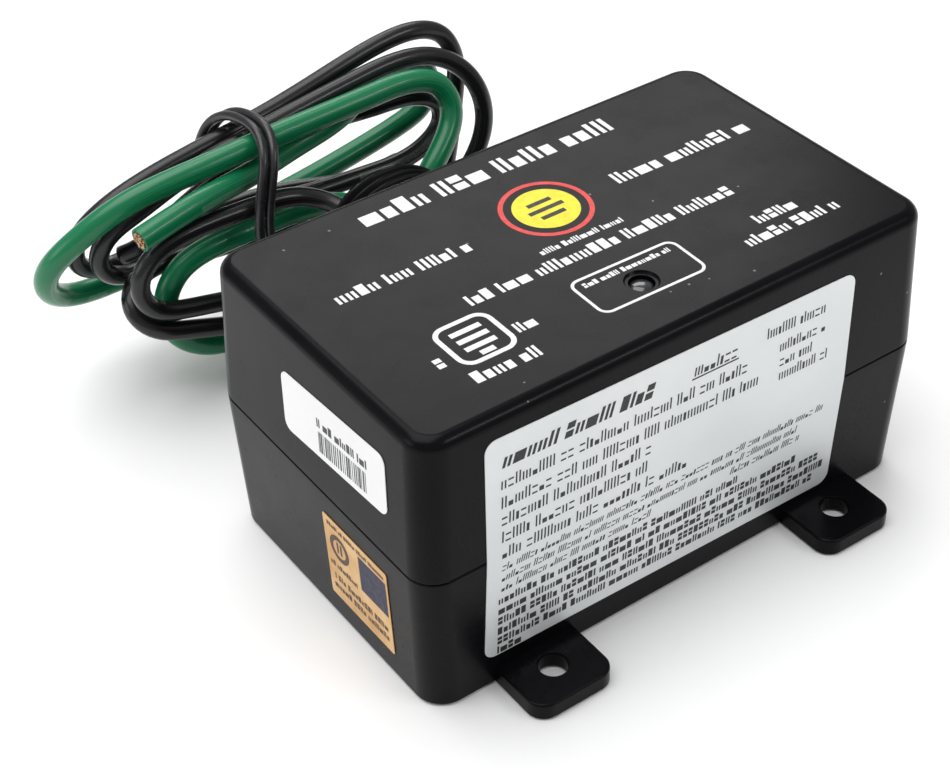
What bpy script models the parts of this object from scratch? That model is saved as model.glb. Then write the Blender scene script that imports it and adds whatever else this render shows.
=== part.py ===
"""A whole house surge protector: a two-part plastic case, a threaded nipple and a tied hank of wire.

Origin at the centre of the case's underside, +Z up, label on the -Y side, nipple on the +Y side.
Places and sizes are in millimetres and are turned into metres by MM.
"""

import math

import bmesh
import bpy
import numpy as np
from mathutils import Matrix

MM = 0.001
GAP = 0.3

CASE_HEIGHT = 50.8
SEAM_HEIGHT = 25.9
TOP_HALF = (46.8, 27.9)
SEAM_HALF = (47.8, 28.7)
BOTTOM_HALF = (46.85, 28.0)
CORNER_RADIUS = 4.7
TOP_FILLET = 2.0
WALL = 2.4
TONGUE_INSET = 1.4
TONGUE_HEIGHT = 2.0

TAB_X = 28.5
TAB_WIDTH = 14.6
TAB_REACH = 38.8
TAB_THICKNESS = 3.0
TAB_CORNER = 3.0
TAB_HOLE_Y = -32.5
TAB_HOLE_RADIUS = 2.25

NIPPLE_X = -3.8
NIPPLE_Z = 26.3
NIPPLE_END = 47.7
NIPPLE_RADIUS = 13.34
THREAD_PITCH = 1.81
THREAD_DEPTH = 1.1
THREAD_START = 29.6
BORE_RADIUS = 9.9
FLANGE_RADIUS = 15.5
FLANGE_BACK = 23.4
FLANGE_FRONT = 25.4
SEAL_BACK = 38.0
SEAL_FACE = 42.2

LAMP_X = 0.0
LAMP_Y = -16.0
LAMP_RADIUS = 1.5
LAMP_RING_RADIUS = 2.6
LAMP_RING_DEPTH = 0.4
LAMP_BASE = 45.0
LAMP_TOP = 50.3
LAMP_LEG_SPREAD = 1.27

LABEL_GAP = 0.12
LABEL_THICKNESS = 0.2
FRONT_LABEL_X = (-37.4, 31.0)
FRONT_LABEL_Z = (5.2, 46.4)
FRONT_LABEL_TILT = 1.3
BARCODE_CENTRE = (-6.0, 38.1)
BARCODE_SIZE = (27.0, 10.4)
BARCODE_TILT = -3.4
FOIL_CENTRE = (-10.0, 13.3)
FOIL_SIZE = (17.0, 16.8)

BOARD_HALF = (40.0, 21.0)
BOARD_Y = -3.0
BOARD_BOTTOM = 8.0
BOARD_THICKNESS = 1.6
BOARD_TOP = BOARD_BOTTOM + BOARD_THICKNESS
PART_FLOOR = BOARD_TOP + GAP
PILLAR_RADIUS = 3.0
PILLAR_X = 35.0
PILLAR_YS = (-19.0, 13.0)
SCREW_HOLE_RADIUS = 1.6
SCREW_SHANK_RADIUS = 1.3
SCREW_HEAD_RADIUS = 2.8
SCREW_HEAD_HEIGHT = 2.0

VARISTOR_RADIUS = 10.0
VARISTOR_THICKNESS = 5.0
VARISTOR_PITCH = 11.0
VARISTOR_FIRST_X = -28.0
VARISTOR_Y = -12.0
FUSE_RADIUS = 2.4
FUSE_LENGTH = 12.0
FUSE_Y = 6.0
FUSE_XS = (-26.0, -8.0, 10.0)
RESISTOR_PLACE = (26.0, 6.0)
RESISTOR_RADIUS = 1.2
RESISTOR_LENGTH = 6.5
TERMINAL_SIZE = (6.0, 5.0, 5.0)
TERMINAL_Y = 14.0

GROUND_RADIUS = 2.1
LINE_RADIUS = 1.7
COPPER_SHARE = 0.55
COPPER_LENGTH = 1.2
WIRE_POINT_SPACING = 4.9
LEAD_POINT_SPACING = 4.0

GROUND_ROUTE = [
    (-3, 42.5, 27), (-3.5, 48.5, 27.8), (-6, 55, 28.6), (-12, 60, 27.8), (-20, 62, 26.5), (-29, 62.3, 26),
    (-36, 62.4, 23.8), (-39.6, 62.4, 18), (-38.6, 62.4, 11.8), (-34, 62.4, 7), (-27, 62.5, 4.8),
    (-17, 62.6, 5), (-8, 61.7, 6.8), (-1, 59, 10.5), (4, 56.5, 15.5), (7.6, 55.2, 21.6), (11.4, 56, 27.6),
    (16.6, 58, 31.9), (19.7, 60.5, 36.4), (18.4, 62.2, 40.4), (13.5, 63, 42.6), (5, 63, 42.9),
    (-5, 63, 42.5), (-17, 63, 42), (-31, 63.2, 41), (-43, 64.7, 38.7), (-51.5, 67, 33.8),
    (-56.3, 70, 27.8), (-55.5, 73.3, 21.5), (-50, 76, 17), (-41.5, 77, 15.8), (-28, 76.8, 17),
    (-14, 75.9, 20), (0, 75.3, 22.6), (10, 75.1, 24.6), (18.2, 75, 26.6), (22.8, 74.8, 29),
    (24.4, 74.5, 33), (22.4, 74, 37.6), (17, 73.2, 40.2), (9.5, 70.6, 40.8), (2, 67.2, 39),
    (-9, 65.2, 37.4), (-20, 62.3, 37.2), (-32, 58.6, 38.2), (-45, 56.3, 37),
]
LINE_1_ROUTE = [
    (-8, 42.5, 29), (-8, 48, 29.5), (-9.7, 53.5, 31), (-14, 57, 32.6), (-21, 57.8, 33.6), (-30, 57.8, 34),
    (-38.3, 57.8, 33.4), (-43.4, 57.9, 31), (-45.6, 58, 26.4), (-43.6, 57.9, 21.6), (-38, 57.7, 19.2),
    (-30, 57.6, 17.4), (-21, 58.2, 15), (-11, 61, 13), (0, 63.5, 12), (10, 63.2, 12.7), (19, 62.3, 16.6),
    (25.4, 62, 22.8), (28.6, 62.8, 30.2), (27.4, 65, 37.5), (22.3, 67, 42.4), (14.5, 67.6, 44.5),
    (4, 67.7, 43.8), (-8, 67.6, 42.2), (-21, 67.6, 40), (-33, 67.5, 37), (-40.6, 67.9, 33.9),
    (-45.5, 68.4, 31.2), (-47.4, 69.3, 26.8), (-45.4, 70.3, 22.4), (-40.3, 70.9, 20.4), (-33, 71, 21.2),
    (-25, 70.6, 23.2), (-15, 68.6, 25.2), (-5, 66.3, 25.6), (4, 65.8, 25.4), (11, 65.8, 25.2),
    (17.6, 66, 26.7), (21.2, 66.2, 30.2), (20.8, 66.4, 33.9), (17.2, 66.8, 36.4), (13.2, 67.5, 37),
    (9, 68.8, 36.4), (2, 71, 35.5), (-6, 71.4, 35), (-14, 70.7, 34.6), (-24, 69, 33.6), (-32, 67.4, 31.8),
    (-37.6, 67, 29.2), (-41.2, 68, 27), (-43.2, 69.4, 25.9),
]
LINE_2_ROUTE = [
    (-5, 42.5, 20.5), (-5, 48.5, 20.5), (-5.6, 55, 20.6), (-8.5, 61, 21), (-14.5, 65.3, 21.2),
    (-23, 66.6, 21.6), (-32, 66.7, 22.6), (-39, 66.9, 22.9), (-43.6, 65.4, 21.8), (-45.6, 62.2, 19.3),
    (-43.8, 59.2, 16.8), (-38.8, 57.6, 15.1), (-31, 57.2, 12.6), (-20, 57.2, 8.4), (-9, 57.6, 4.8),
    (2, 59.5, 3.4), (11, 62.5, 5.5), (18.3, 65.3, 10.8), (22.4, 67.2, 18.2), (24.8, 68.2, 25.8),
    (26.8, 69.5, 32.4), (28, 71, 38.8), (26.4, 72.1, 43.2), (21.4, 72.4, 46), (14.5, 72.4, 46.3),
    (5, 72.3, 44.6), (-9, 72.3, 41.3), (-25, 72, 38.8), (-38, 72, 36.3), (-45.4, 72.4, 33.2),
    (-49.4, 73.1, 29), (-49.4, 73.9, 24.4), (-45.6, 74.8, 21.2), (-39, 75.1, 20.8), (-30, 75, 22.3),
    (-20, 73.8, 24), (-10, 71.9, 24.2), (0, 70.4, 22.7), (8, 69.9, 22), (14, 69.9, 22.4),
]
# (wire, radius, outer route, route inside the case, terminal x, jacket colour)
GREEN = (0.01, 0.22, 0.09)
JACKET_BLACK = (0.012, 0.012, 0.013)
WIRES = [
    ("ground", GROUND_RADIUS, GROUND_ROUTE,
     [(-3, 14, 15.4), (-3, 14.3, 19), (-3.3, 17.5, 23.8), (-3.6, 22, 26.2), (-3.3, 30, 27), (-3, 37.7, 27)],
     -3, GREEN),
    ("line_1", LINE_RADIUS, LINE_1_ROUTE,
     [(-11, 14, 15.4), (-10.9, 14.4, 19.5), (-10, 17.5, 24), (-8.8, 22, 26.5), (-8.1, 30, 28.6),
      (-8, 37.7, 29)],
     -11, JACKET_BLACK),
    ("line_2", LINE_RADIUS, LINE_2_ROUTE,
     [(5, 14, 15.4), (4.9, 14.3, 18), (3, 17.6, 20.4), (0, 23, 20.8), (-3.5, 31, 20.6), (-5, 37.7, 20.5)],
     5, JACKET_BLACK),
]

TIE_RADIUS = 0.85
TIE_X = -16.8
TIE_BOW = 8.2
TIE_BOW_SPAN = 42
TIE_PITCH = 1.95
TIE_TURNS = 2
TIE_STEPS = 26
# The loop that the tie takes round the hank, seen along X, as (y, z).
TIE_LOOP = [
    (66, 1.4), (60.4, 1.4), (55.4, 3.2), (53, 8.6), (53.4, 16), (53.8, 24), (54.2, 32.5), (55.2, 39),
    (57.4, 43.2), (61.4, 45.3), (66.6, 45.2), (71.6, 43.8), (75.2, 40.8), (77, 34), (79, 27), (80.1, 20),
    (78.4, 10), (72.5, 3.4),
]


def clear_scene():
    for obj in list(bpy.data.objects):
        bpy.data.objects.remove(obj, do_unlink=True)


def make_collection(name, hidden=False):
    collection = bpy.data.collections.new(name)
    collection.hide_render = hidden
    bpy.context.scene.collection.children.link(collection)
    return collection


def make_material(name, colour, roughness, metallic=0.0):
    material = bpy.data.materials.new(name)
    material.use_nodes = True
    shader = material.node_tree.nodes["Principled BSDF"]
    shader.inputs["Base Color"].default_value = (*colour, 1.0)
    shader.inputs["Roughness"].default_value = roughness
    shader.inputs["Metallic"].default_value = metallic
    material.diffuse_color = (*colour, 1.0)
    return material


def add_object(name, data, collection, material=None):
    obj = bpy.data.objects.new(name, data)
    if material:
        data.materials.append(material)
    collection.objects.link(obj)
    return obj


def add_bmesh(name, bm, collection, material=None):
    bmesh.ops.recalc_face_normals(bm, faces=bm.faces)
    mesh = bpy.data.meshes.new(name)
    bm.to_mesh(mesh)
    bm.free()
    return add_object(name, mesh, collection, material)


def add_cutter(name, bm):
    """A hidden helper that a Boolean modifier reads."""
    obj = add_bmesh(name, bm, CUTTERS)
    obj.hide_render = True
    obj.display_type = "WIRE"
    return obj


def combine(obj, other, operation):
    modifier = obj.modifiers.new(other.name, "BOOLEAN")
    modifier.operation = operation
    modifier.solver = "EXACT"
    modifier.object = other


def upright_edges(bm):
    """The edges that run from the bottom of a block to its top, drafted or not."""
    middle = sum(vert.co.z for vert in bm.verts) / len(bm.verts)
    return [edge for edge in bm.edges if (edge.verts[0].co.z - middle) * (edge.verts[1].co.z - middle) < 0]


def bevel(bm, edges, radius, segments):
    bmesh.ops.bevel(bm, geom=edges, offset=radius * MM, segments=segments, profile=0.5, affect="EDGES")


def drafted_block(low_half, high_half, low_z, high_z, corner, top_fillet=0.0, segments=5):
    """A block whose sides lean, with rounded upright corners and, if asked for, a rounded top edge."""
    bm = bmesh.new()
    bmesh.ops.create_cube(bm, size=2)
    for vert in bm.verts:
        half, z = (high_half, high_z) if vert.co.z > 0 else (low_half, low_z)
        vert.co = (vert.co.x * half[0] * MM, vert.co.y * half[1] * MM, z * MM)
    bevel(bm, upright_edges(bm), corner, segments)
    if top_fillet:
        rim = [edge for edge in bm.edges if all(abs(vert.co.z - high_z * MM) < 1e-6 for vert in edge.verts)]
        bevel(bm, rim, top_fillet, 3)
    return bm


def inset(half, amount):
    return (half[0] - amount, half[1] - amount)


def half_at(z):
    """The case's half length and half width at a height, from its drafted sides."""
    if z < SEAM_HEIGHT:
        share = z / SEAM_HEIGHT
        return tuple(low + (high - low) * share for low, high in zip(BOTTOM_HALF, SEAM_HALF))
    share = (z - SEAM_HEIGHT) / (CASE_HEIGHT - SEAM_HEIGHT)
    return tuple(low + (high - low) * share for low, high in zip(SEAM_HALF, TOP_HALF))


def cylinder(bm, radius, low, high, place, axis="Z", sides=24):
    """A cylinder from low to high along an axis, centred at place on the other two."""
    turns = {"X": Matrix.Rotation(math.pi / 2, 4, "Y"), "Y": Matrix.Rotation(-math.pi / 2, 4, "X")}
    middle = (low + high) / 2
    centre = {
        "X": (middle, place[0], place[1]),
        "Y": (place[0], middle, place[1]),
        "Z": (place[0], place[1], middle),
    }[axis]
    move = Matrix.Translation([value * MM for value in centre]) @ turns.get(axis, Matrix.Identity(4))
    bmesh.ops.create_cone(
        bm, cap_ends=True, segments=sides, radius1=radius * MM, radius2=radius * MM,
        depth=(high - low) * MM, matrix=move,
    )


def turned(name, profile, steps, material, closed=False):
    """A turned shape. The profile holds (radius, height) pairs and runs top to bottom on the outside."""
    mesh = bpy.data.meshes.new(name)
    points = [(radius * MM, 0, height * MM) for radius, height in profile]
    edges = [(i, i + 1) for i in range(len(points) - 1)]
    if closed:
        edges.append((len(points) - 1, 0))
    mesh.from_pydata(points, edges, [])
    obj = add_object(name, mesh, PARTS, material)
    screw = obj.modifiers.new("turn", "SCREW")
    screw.steps = steps
    screw.render_steps = steps
    screw.use_merge_vertices = True
    screw.merge_threshold = 0.00001
    return obj


def smooth_route(points, spacing):
    """Even points, in metres, on the cubic spline that passes through the given points."""
    points = np.array(points, float) * MM
    last = len(points) - 1
    steps = np.linalg.norm(np.diff(points, axis=0), axis=1)
    knots = np.concatenate(([0.0], np.cumsum(steps)))
    system = np.eye(last + 1)
    change = np.zeros_like(points)
    slopes = np.diff(points, axis=0) / steps[:, None]
    for i in range(1, last):
        system[i, i - 1:i + 2] = (steps[i - 1], 2 * (steps[i - 1] + steps[i]), steps[i])
        change[i] = 6 * (slopes[i] - slopes[i - 1])
    bends = np.linalg.solve(system, change)
    places = np.linspace(0, knots[-1], round(knots[-1] / (spacing * MM)) + 1)
    span = np.clip(np.searchsorted(knots, places, side="right") - 1, 0, last - 1)
    step = steps[span][:, None]
    after = (places[:, None] - knots[span][:, None]) / step
    before = 1 - after
    curve = (before**3 - before) * bends[span] + (after**3 - after) * bends[span + 1]
    return before * points[span] + after * points[span + 1] + curve * step**2 / 6


def tube(name, route, radius, material):
    curve = bpy.data.curves.new(name, "CURVE")
    curve.dimensions = "3D"
    curve.bevel_depth = radius * MM
    curve.bevel_resolution = 2
    curve.use_fill_caps = True
    spline = curve.splines.new("POLY")
    spline.points.add(len(route) - 1)
    for point, place in zip(spline.points, route):
        point.co = (*place, 1)
    return add_object(name, curve, PARTS, material)


def nipple_hole():
    bm = bmesh.new()
    cylinder(bm, NIPPLE_RADIUS + GAP, 20, 36, (NIPPLE_X, NIPPLE_Z), "Y", 32)
    return add_cutter("nipple_hole", bm)


def make_cover(material, hole):
    low = SEAM_HEIGHT + GAP / 2
    bm = drafted_block(SEAM_HALF, TOP_HALF, low, CASE_HEIGHT, CORNER_RADIUS, TOP_FILLET)
    cover = add_bmesh("case_cover", bm, PARTS, material)
    inner = drafted_block(
        inset(SEAM_HALF, WALL), inset(TOP_HALF, WALL), low - 1, CASE_HEIGHT - WALL, CORNER_RADIUS - WALL, 1.0
    )
    combine(cover, add_cutter("cover_cavity", inner), "DIFFERENCE")
    outer = inset(SEAM_HALF, TONGUE_INSET - GAP)
    rebate_top = SEAM_HEIGHT - GAP / 2 + TONGUE_HEIGHT + GAP
    rebate = drafted_block(outer, outer, low - 1, rebate_top, CORNER_RADIUS - TONGUE_INSET + GAP)
    combine(cover, add_cutter("cover_rebate", rebate), "DIFFERENCE")
    combine(cover, hole, "DIFFERENCE")
    lamp = bmesh.new()
    cylinder(lamp, LAMP_RADIUS + GAP, 46, 52, (LAMP_X, LAMP_Y))
    combine(cover, add_cutter("lamp_hole", lamp), "DIFFERENCE")
    ring = bmesh.new()
    cylinder(ring, LAMP_RING_RADIUS, CASE_HEIGHT - LAMP_RING_DEPTH, 52, (LAMP_X, LAMP_Y))
    combine(cover, add_cutter("lamp_ring", ring), "DIFFERENCE")


def tab_block(side):
    """One mounting tab, rounded at its two free corners."""
    bm = bmesh.new()
    bmesh.ops.create_cube(bm, size=1)
    inner_y = -inset(BOTTOM_HALF, WALL / 2)[1]
    for vert in bm.verts:
        y = inner_y if vert.co.y > 0 else -TAB_REACH
        z = TAB_THICKNESS if vert.co.z > 0 else 0.0
        vert.co = ((side * TAB_X + vert.co.x * TAB_WIDTH) * MM, y * MM, z * MM)
    free = [edge for edge in upright_edges(bm) if edge.verts[0].co.y < -30 * MM]
    bevel(bm, free, TAB_CORNER, 5)
    return add_cutter("tab_left" if side < 0 else "tab_right", bm)


def pillar_places():
    return [(side * PILLAR_X, y) for side in (-1, 1) for y in PILLAR_YS]


def make_base(material, hole):
    high = SEAM_HEIGHT - GAP / 2
    block = drafted_block(BOTTOM_HALF, SEAM_HALF, 0, high, CORNER_RADIUS)
    base = add_bmesh("case_base", block, PARTS, material)
    outer = inset(SEAM_HALF, TONGUE_INSET)
    tongue = drafted_block(outer, outer, high - 3, high + TONGUE_HEIGHT, CORNER_RADIUS - TONGUE_INSET)
    combine(base, add_cutter("base_tongue", tongue), "UNION")
    for side in (-1, 1):
        combine(base, tab_block(side), "UNION")
    inner = drafted_block(
        inset(BOTTOM_HALF, WALL), inset(SEAM_HALF, WALL), WALL, high + TONGUE_HEIGHT + 2, CORNER_RADIUS - WALL
    )
    combine(base, add_cutter("base_cavity", inner), "DIFFERENCE")
    combine(base, hole, "DIFFERENCE")
    pillars = bmesh.new()
    holes = bmesh.new()
    for place in pillar_places():
        cylinder(pillars, PILLAR_RADIUS, WALL / 2, BOARD_BOTTOM - GAP, place, sides=16)
        cylinder(holes, SCREW_HOLE_RADIUS, WALL / 2 + 0.6, BOARD_BOTTOM + 1, place, sides=16)
    for side in (-1, 1):
        cylinder(holes, TAB_HOLE_RADIUS, -1, TAB_THICKNESS + 1, (side * TAB_X, TAB_HOLE_Y), sides=24)
    combine(base, add_cutter("board_pillars", pillars), "UNION")
    combine(base, add_cutter("base_holes", holes), "DIFFERENCE")


def thread_profile():
    """The nipple's outside from its free end back to the wall, one crest for each turn of thread."""
    turns = int((NIPPLE_END - THREAD_START) / THREAD_PITCH)
    root = NIPPLE_RADIUS - THREAD_DEPTH
    profile = [(root, NIPPLE_END)]
    for turn in range(turns):
        height = NIPPLE_END - (turn + 0.5) * THREAD_PITCH
        profile.append((NIPPLE_RADIUS, height))
        profile.append((root, height - THREAD_PITCH / 2))
    return profile


def make_nipple():
    profile = thread_profile() + [
        (NIPPLE_RADIUS - THREAD_DEPTH, FLANGE_FRONT),
        (FLANGE_RADIUS, FLANGE_FRONT),
        (FLANGE_RADIUS, FLANGE_BACK),
        (BORE_RADIUS, FLANGE_BACK),
        (BORE_RADIUS, NIPPLE_END),
    ]
    material = make_material("nipple_plastic", (0.02, 0.02, 0.022), 0.35)
    nipple = turned("conduit_nipple", profile, 32, material, closed=True)
    nipple.rotation_euler = (-math.pi / 2, 0, 0)
    nipple.location = (NIPPLE_X * MM, 0, NIPPLE_Z * MM)


def make_seal():
    bm = bmesh.new()
    cylinder(bm, BORE_RADIUS - GAP, SEAL_BACK, SEAL_FACE, (NIPPLE_X, NIPPLE_Z), "Y", 32)
    add_bmesh("nipple_seal", bm, PARTS, make_material("sealing_compound", (0.015, 0.015, 0.016), 0.5))


def label_sheet(width, height, corner):
    """A flat rounded rectangle in the XZ plane, centred on the origin."""
    bm = bmesh.new()
    bmesh.ops.create_grid(bm, x_segments=1, y_segments=1, size=0.5)
    bmesh.ops.scale(bm, vec=(width * MM, height * MM, 1), verts=bm.verts)
    bmesh.ops.bevel(bm, geom=bm.verts, offset=corner * MM, segments=4, profile=0.5, affect="VERTICES")
    bmesh.ops.rotate(bm, matrix=Matrix.Rotation(math.pi / 2, 3, "X"), verts=bm.verts)
    return bm


def stick_label(name, bm, tilt, centre, side, material):
    """Turns a sheet by its tilt, lays it on one drafted side of the case and gives it thickness."""
    bmesh.ops.rotate(bm, matrix=Matrix.Rotation(math.radians(tilt), 3, "Y"), verts=bm.verts)
    bmesh.ops.translate(bm, vec=(centre[0] * MM, 0, centre[1] * MM), verts=bm.verts)
    whole = list(bm.verts) + list(bm.edges) + list(bm.faces)
    bmesh.ops.bisect_plane(bm, geom=whole, plane_co=(0, 0, SEAM_HEIGHT * MM), plane_no=(0, 0, 1))
    for vert in bm.verts:
        reach = (half_at(vert.co.z / MM)[side] + LABEL_GAP) * MM
        vert.co = (vert.co.x, -reach, vert.co.z) if side else (-reach, vert.co.x, vert.co.z)
    sheet = bmesh.ops.extrude_face_region(bm, geom=bm.faces)
    outward = (0, -LABEL_THICKNESS * MM, 0) if side else (-LABEL_THICKNESS * MM, 0, 0)
    moved = [item for item in sheet["geom"] if isinstance(item, bmesh.types.BMVert)]
    bmesh.ops.translate(bm, vec=outward, verts=moved)
    add_bmesh(name, bm, PARTS, material)


def make_labels():
    width = FRONT_LABEL_X[1] - FRONT_LABEL_X[0]
    height = FRONT_LABEL_Z[1] - FRONT_LABEL_Z[0]
    centre = (sum(FRONT_LABEL_X) / 2, sum(FRONT_LABEL_Z) / 2)
    paper = make_material("front_label_paper", (0.5, 0.5, 0.5), 0.45)
    stick_label("front_label", label_sheet(width, height, 2.0), FRONT_LABEL_TILT, centre, 1, paper)
    white = make_material("barcode_label_paper", (0.75, 0.74, 0.72), 0.5)
    stick_label("barcode_label", label_sheet(*BARCODE_SIZE, 1.2), -BARCODE_TILT, BARCODE_CENTRE, 0, white)
    gold = make_material("foil_label_gold", (0.6, 0.42, 0.15), 0.3, 1.0)
    stick_label("foil_label", label_sheet(*FOIL_SIZE, 0.6), 0, FOIL_CENTRE, 0, gold)


def make_lamp():
    dome = [
        (LAMP_RADIUS * math.sin(angle), LAMP_TOP - LAMP_RADIUS * (1 - math.cos(angle)))
        for angle in np.linspace(0, math.pi / 2, 6)
    ]
    flange = LAMP_RADIUS + 0.4
    base = [(LAMP_RADIUS, LAMP_BASE + 1), (flange, LAMP_BASE + 1), (flange, LAMP_BASE), (0, LAMP_BASE)]
    lamp = turned("status_lamp", dome + base, 20, make_material("lamp_resin", (0.1, 0.16, 0.1), 0.15))
    lamp.location = (LAMP_X * MM, LAMP_Y * MM, 0)
    for number, side in enumerate((-1, 1), 1):
        x = LAMP_X + side * LAMP_LEG_SPREAD
        legs = bmesh.new()
        cylinder(legs, 0.3, PART_FLOOR, LAMP_BASE - GAP, (x, LAMP_Y), sides=8)
        tin = make_material(f"lamp_leg_tin_{number}", (0.6, 0.6, 0.58), 0.3, 1.0)
        add_bmesh(f"status_lamp_leg_{number}", legs, PARTS, tin)


def make_board():
    bm = bmesh.new()
    bmesh.ops.create_cube(bm, size=2)
    for vert in bm.verts:
        z = BOARD_TOP if vert.co.z > 0 else BOARD_BOTTOM
        vert.co = (vert.co.x * BOARD_HALF[0] * MM, (BOARD_Y + vert.co.y * BOARD_HALF[1]) * MM, z * MM)
    bevel(bm, upright_edges(bm), 2.0, 3)
    board = add_bmesh("circuit_board", bm, PARTS, make_material("board_laminate", (0.02, 0.12, 0.04), 0.4))
    holes = bmesh.new()
    for place in pillar_places():
        cylinder(holes, SCREW_HOLE_RADIUS, BOARD_BOTTOM - 1, BOARD_TOP + 1, place, sides=16)
    combine(board, add_cutter("board_holes", holes), "DIFFERENCE")


def make_board_screws():
    low = WALL + GAP
    for number, (x, y) in enumerate(pillar_places(), 1):
        head_low = PART_FLOOR
        head_high = head_low + SCREW_HEAD_HEIGHT
        profile = [
            (0, head_high),
            (SCREW_HEAD_RADIUS - 0.8, head_high),
            (SCREW_HEAD_RADIUS, head_high - 0.8),
            (SCREW_HEAD_RADIUS, head_low),
            (SCREW_SHANK_RADIUS, head_low),
            (SCREW_SHANK_RADIUS, low),
            (0, low),
        ]
        steel = make_material(f"board_screw_steel_{number}", (0.55, 0.55, 0.54), 0.35, 1.0)
        screw = turned(f"board_screw_{number}", profile, 12, steel)
        screw.location = (x * MM, y * MM, 0)


def make_varistors():
    for number in range(1, 7):
        x = VARISTOR_FIRST_X + (number - 1) * VARISTOR_PITCH
        bm = bmesh.new()
        half = VARISTOR_THICKNESS / 2
        place = (VARISTOR_Y, PART_FLOOR + VARISTOR_RADIUS)
        cylinder(bm, VARISTOR_RADIUS, x - half, x + half, place, "X", 24)
        rims = [edge for edge in bm.edges if abs(edge.verts[0].co.x - edge.verts[1].co.x) < 1e-7]
        bevel(bm, rims, 1.0, 1)
        coating = make_material(f"varistor_coating_{number}", (0.02, 0.1, 0.35), 0.45)
        add_bmesh(f"varistor_{number}", bm, PARTS, coating)


def make_fuses():
    for number, x in enumerate(FUSE_XS, 1):
        bm = bmesh.new()
        half = FUSE_LENGTH / 2
        cylinder(bm, FUSE_RADIUS, x - half, x + half, (FUSE_Y, PART_FLOOR + FUSE_RADIUS), "X", 16)
        tin = make_material(f"thermal_fuse_tin_{number}", (0.5, 0.45, 0.38), 0.35, 1.0)
        add_bmesh(f"thermal_fuse_{number}", bm, PARTS, tin)


def make_resistor():
    bm = bmesh.new()
    x, y = RESISTOR_PLACE
    half = RESISTOR_LENGTH / 2
    cylinder(bm, RESISTOR_RADIUS, x - half, x + half, (y, PART_FLOOR + RESISTOR_RADIUS), "X", 12)
    add_bmesh("lamp_resistor", bm, PARTS, make_material("resistor_body", (0.55, 0.42, 0.25), 0.5))


def make_terminal(wire, x):
    bm = bmesh.new()
    bmesh.ops.create_cube(bm, size=1)
    bmesh.ops.scale(bm, vec=[size * MM for size in TERMINAL_SIZE], verts=bm.verts)
    height = PART_FLOOR + TERMINAL_SIZE[2] / 2
    bmesh.ops.translate(bm, vec=(x * MM, TERMINAL_Y * MM, height * MM), verts=bm.verts)
    bevel(bm, upright_edges(bm), 0.6, 2)
    brass = make_material(f"terminal_brass_{wire}", (0.65, 0.48, 0.2), 0.3, 1.0)
    add_bmesh(f"terminal_{wire}", bm, PARTS, brass)


def make_copper_end(wire, route, radius):
    """A stub of bare conductor just past the jacket's cut end, in line with it."""
    ahead = (route[-1] - route[-2]) / np.linalg.norm(route[-1] - route[-2])
    start = route[-1] + ahead * GAP * MM
    copper = make_material(f"bare_copper_{wire}", (0.7, 0.35, 0.2), 0.35, 1.0)
    tube(f"copper_end_{wire}", [start, start + ahead * COPPER_LENGTH * MM], radius * COPPER_SHARE, copper)


def make_wires():
    for wire, radius, outer, inner, terminal_x, colour in WIRES:
        jacket = make_material(f"wire_jacket_{wire}", colour, 0.3)
        route = smooth_route(outer, WIRE_POINT_SPACING)
        tube(f"wire_{wire}", route, radius, jacket)
        make_copper_end(wire, route, radius)
        lead = make_material(f"inner_jacket_{wire}", colour, 0.35)
        tube(f"inner_lead_{wire}", smooth_route(inner, LEAD_POINT_SPACING), radius, lead)
        make_terminal(wire, terminal_x)


def make_tie():
    """The tie goes twice round the hank, each turn beside the last."""
    loop = smooth_route([(0, y, z) for y, z in TIE_LOOP + TIE_LOOP[:1]], 1.0)
    per_turn = [loop[round(i * (len(loop) - 1) / TIE_STEPS)] for i in range(TIE_STEPS)]
    route = []
    for i in range(TIE_TURNS * TIE_STEPS - 1):
        place = per_turn[i % TIE_STEPS].copy()
        bow = TIE_BOW * math.sin(math.pi * (CASE_HEIGHT - place[2] / MM) / TIE_BOW_SPAN)
        place[0] = (TIE_X + TIE_PITCH * i / TIE_STEPS - bow) * MM
        route.append(place)
    tube("wire_tie", route, TIE_RADIUS, make_material("tie_plastic", (0.015, 0.014, 0.016), 0.3))


clear_scene()
PARTS = make_collection("whole_house_surge_protector")
CUTTERS = make_collection("cutters", hidden=True)
NIPPLE_HOLE = nipple_hole()
make_cover(make_material("cover_plastic", (0.028, 0.028, 0.031), 0.42), NIPPLE_HOLE)
make_base(make_material("base_plastic", (0.022, 0.022, 0.025), 0.42), NIPPLE_HOLE)
make_nipple()
make_seal()
make_labels()
make_lamp()
make_board()
make_board_screws()
make_varistors()
make_fuses()
make_resistor()
make_wires()
make_tie()
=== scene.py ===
import math
import random

import bmesh
import bpy
import numpy as np
from mathutils import Matrix, Vector


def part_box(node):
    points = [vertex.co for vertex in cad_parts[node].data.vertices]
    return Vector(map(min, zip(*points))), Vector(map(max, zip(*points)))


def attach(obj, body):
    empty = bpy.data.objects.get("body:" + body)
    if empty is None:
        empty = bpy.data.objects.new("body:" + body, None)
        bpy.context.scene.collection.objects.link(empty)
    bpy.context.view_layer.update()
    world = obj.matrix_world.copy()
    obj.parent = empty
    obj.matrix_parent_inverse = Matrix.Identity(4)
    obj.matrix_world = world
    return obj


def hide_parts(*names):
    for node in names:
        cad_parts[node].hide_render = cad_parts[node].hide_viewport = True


# Lengths are in millimetres, and MM turns them into metres. Only these are in metres already: the weld
# and join distances, the camera's place, the floor's half size, and the lights' places and sizes.
MM = 0.001
WELD_DISTANCE = 1e-7
JOIN_DISTANCE = 2e-6
BODY = "surge_protector"

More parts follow.
